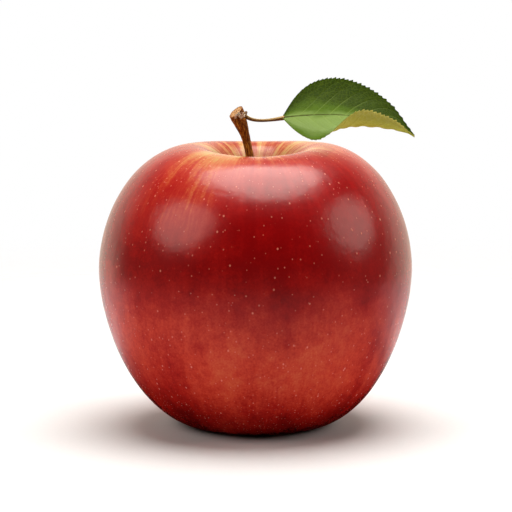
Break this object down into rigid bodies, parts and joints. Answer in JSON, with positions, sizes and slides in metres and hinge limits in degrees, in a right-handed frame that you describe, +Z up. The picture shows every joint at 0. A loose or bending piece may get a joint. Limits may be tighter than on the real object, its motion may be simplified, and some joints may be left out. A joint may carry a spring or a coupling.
{
  "type": "apple with leaf",
  "caption": "Round red dessert apple standing on its base, with a woody stalk in a deep cavity and a serrated green leaf on a thin leaf stalk.",
  "frame": {"origin": "on the surface that the apple stands on, under the middle of the fruit", "axes": "+Z up along the fruit's axis, +X towards the leaf's tip, -Y towards the leaf's rolled edge"},
  "size_m": [0.0823, 0.082, 0.0902],
  "materials": {
    "skin": "smooth waxy red skin with pale dots",
    "bark": "fibrous brown bark with a pale cut face",
    "bud_brown": "matt brown bud",
    "dry_scale": "dry papery scale",
    "petiole": "satin tan leaf stalk",
    "leaf": "satin green leaf, paler underneath",
    "dry_calyx": "dry crumpled brown"
  },
  "bodies": {
    "root": {"fruit": "skin", "stem": "bark", "bud": "bud_brown", "bud_scale_1": "dry_scale", "bud_scale_2": "dry_scale", "bud_scale_3": "dry_scale", "leaf_petiole": "petiole", "leaf_blade": "leaf", "sepal_1": "dry_calyx", "sepal_2": "dry_calyx", "sepal_3": "dry_calyx", "sepal_4": "dry_calyx", "sepal_5": "dry_calyx", "stamen_tuft": "dry_calyx"}
  },
  "joints": []
}
